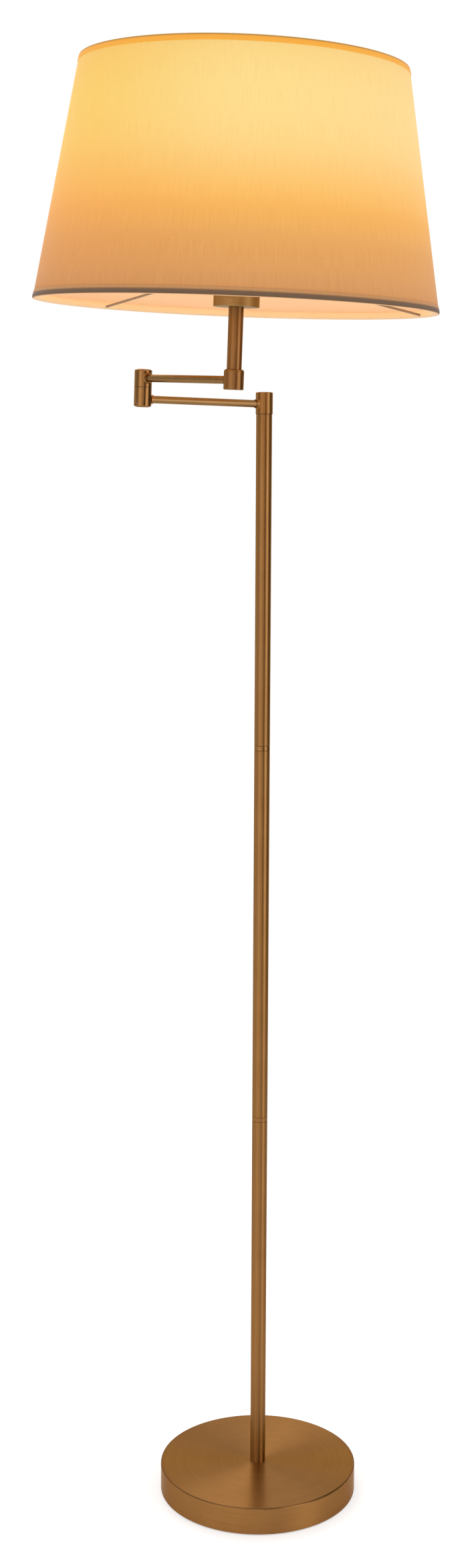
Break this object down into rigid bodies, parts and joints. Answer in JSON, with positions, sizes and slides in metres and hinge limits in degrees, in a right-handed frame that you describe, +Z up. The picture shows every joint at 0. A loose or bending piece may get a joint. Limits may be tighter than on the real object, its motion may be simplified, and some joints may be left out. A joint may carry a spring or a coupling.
{
  "type": "bridge floor lamp",
  "caption": "Bridge floor lamp: weighted round base, straight pole and a swivelling double arm that carries a tapered fabric shade.",
  "frame": {"origin": "centre of the base's underside, on the floor", "axes": "+Z up along the pole; -Y towards the side the lamp is seen from in the picture, where the shade hangs out over the base; +X to the viewer's right"},
  "size_m": [0.4547, 0.5867, 1.7951],
  "materials": {
    "bronze": "brushed and lacquered, antique bronze tone, satin",
    "iron": "rough, dark primer",
    "pad": "matt foam rubber",
    "black_plastic": "moulded, matt",
    "zinc_steel": "zinc plated",
    "bare_brass": "turned, bare",
    "contact_ceramic": "unglazed, off white",
    "bulb_metal": "pressed, bright",
    "opal_glass": "opal, lit warm white",
    "shade_fabric": "fine slub weave, lit from inside",
    "shade_lining": "stiff pale lining, lit from inside",
    "shade_tape": "fabric folded round the wire, edge tape",
    "wire_enamel": "enamelled wire, off white"
  },
  "bodies": {
    "stand": {"base_cover": "bronze", "base_weight": "iron", "base_pad": "pad", "cord_grommet": "black_plastic", "base_nipple": "zinc_steel", "base_washer": "zinc_steel", "base_nut": "zinc_steel", "pole_lower": "bronze", "pole_middle": "bronze", "pole_upper": "bronze", "pole_foot_bush": "bare_brass", "pole_coupler_lower": "bronze", "pole_coupler_upper": "bronze", "pole_bush": "bare_brass"},
    "lower_arm_body": {"pole_collar": "bronze", "pole_collar_cap": "bronze", "pole_pivot": "bare_brass", "pole_pivot_washer": "zinc_steel", "pole_pivot_nut": "zinc_steel", "lower_arm": "bronze", "elbow_lower_sleeve": "bronze", "elbow_end_plug": "bronze", "elbow_grub_screw": "zinc_steel", "elbow_bush": "bare_brass"},
    "head": {"elbow_upper_sleeve": "bronze", "elbow_cap": "bronze", "elbow_pivot": "bare_brass", "elbow_pivot_washer": "zinc_steel", "elbow_pivot_nut": "zinc_steel", "upper_arm": "bronze", "stem_collar": "bronze", "stem_tube": "bronze", "stem_bush": "bare_brass", "socket_cup": "bronze", "holder_nipple": "zinc_steel", "lampholder_base": "black_plastic", "lampholder_skirt": "black_plastic", "lampholder_core": "contact_ceramic", "lampholder_contact": "bare_brass", "lampholder_thread": "bare_brass", "bulb_contact": "bare_brass", "bulb_cap": "bulb_metal", "bulb_globe": "opal_glass", "shade_ring_nut": "black_plastic", "shade_fabric": "shade_fabric", "shade_lining": "shade_lining", "shade_bottom_tape": "shade_tape", "shade_top_tape": "shade_tape", "shade_bottom_ring": "wire_enamel", "shade_top_ring": "wire_enamel", "shade_spider": "wire_enamel"}
  },
  "joints": [
    {"name": "pole_swivel", "type": "hinge", "parent": "stand", "child": "lower_arm_body", "pos_m": [0, 0, 1.432], "axis": [0, 0, 1], "range_deg": [-175, 175]},
    {"name": "elbow_swivel", "type": "hinge", "parent": "lower_arm_body", "child": "head", "pos_m": [-0.14586, -0.09115, 1.432], "axis": [0.0324, -0.0518, 0.9981], "range_deg": [-262, 66]}
  ]
}
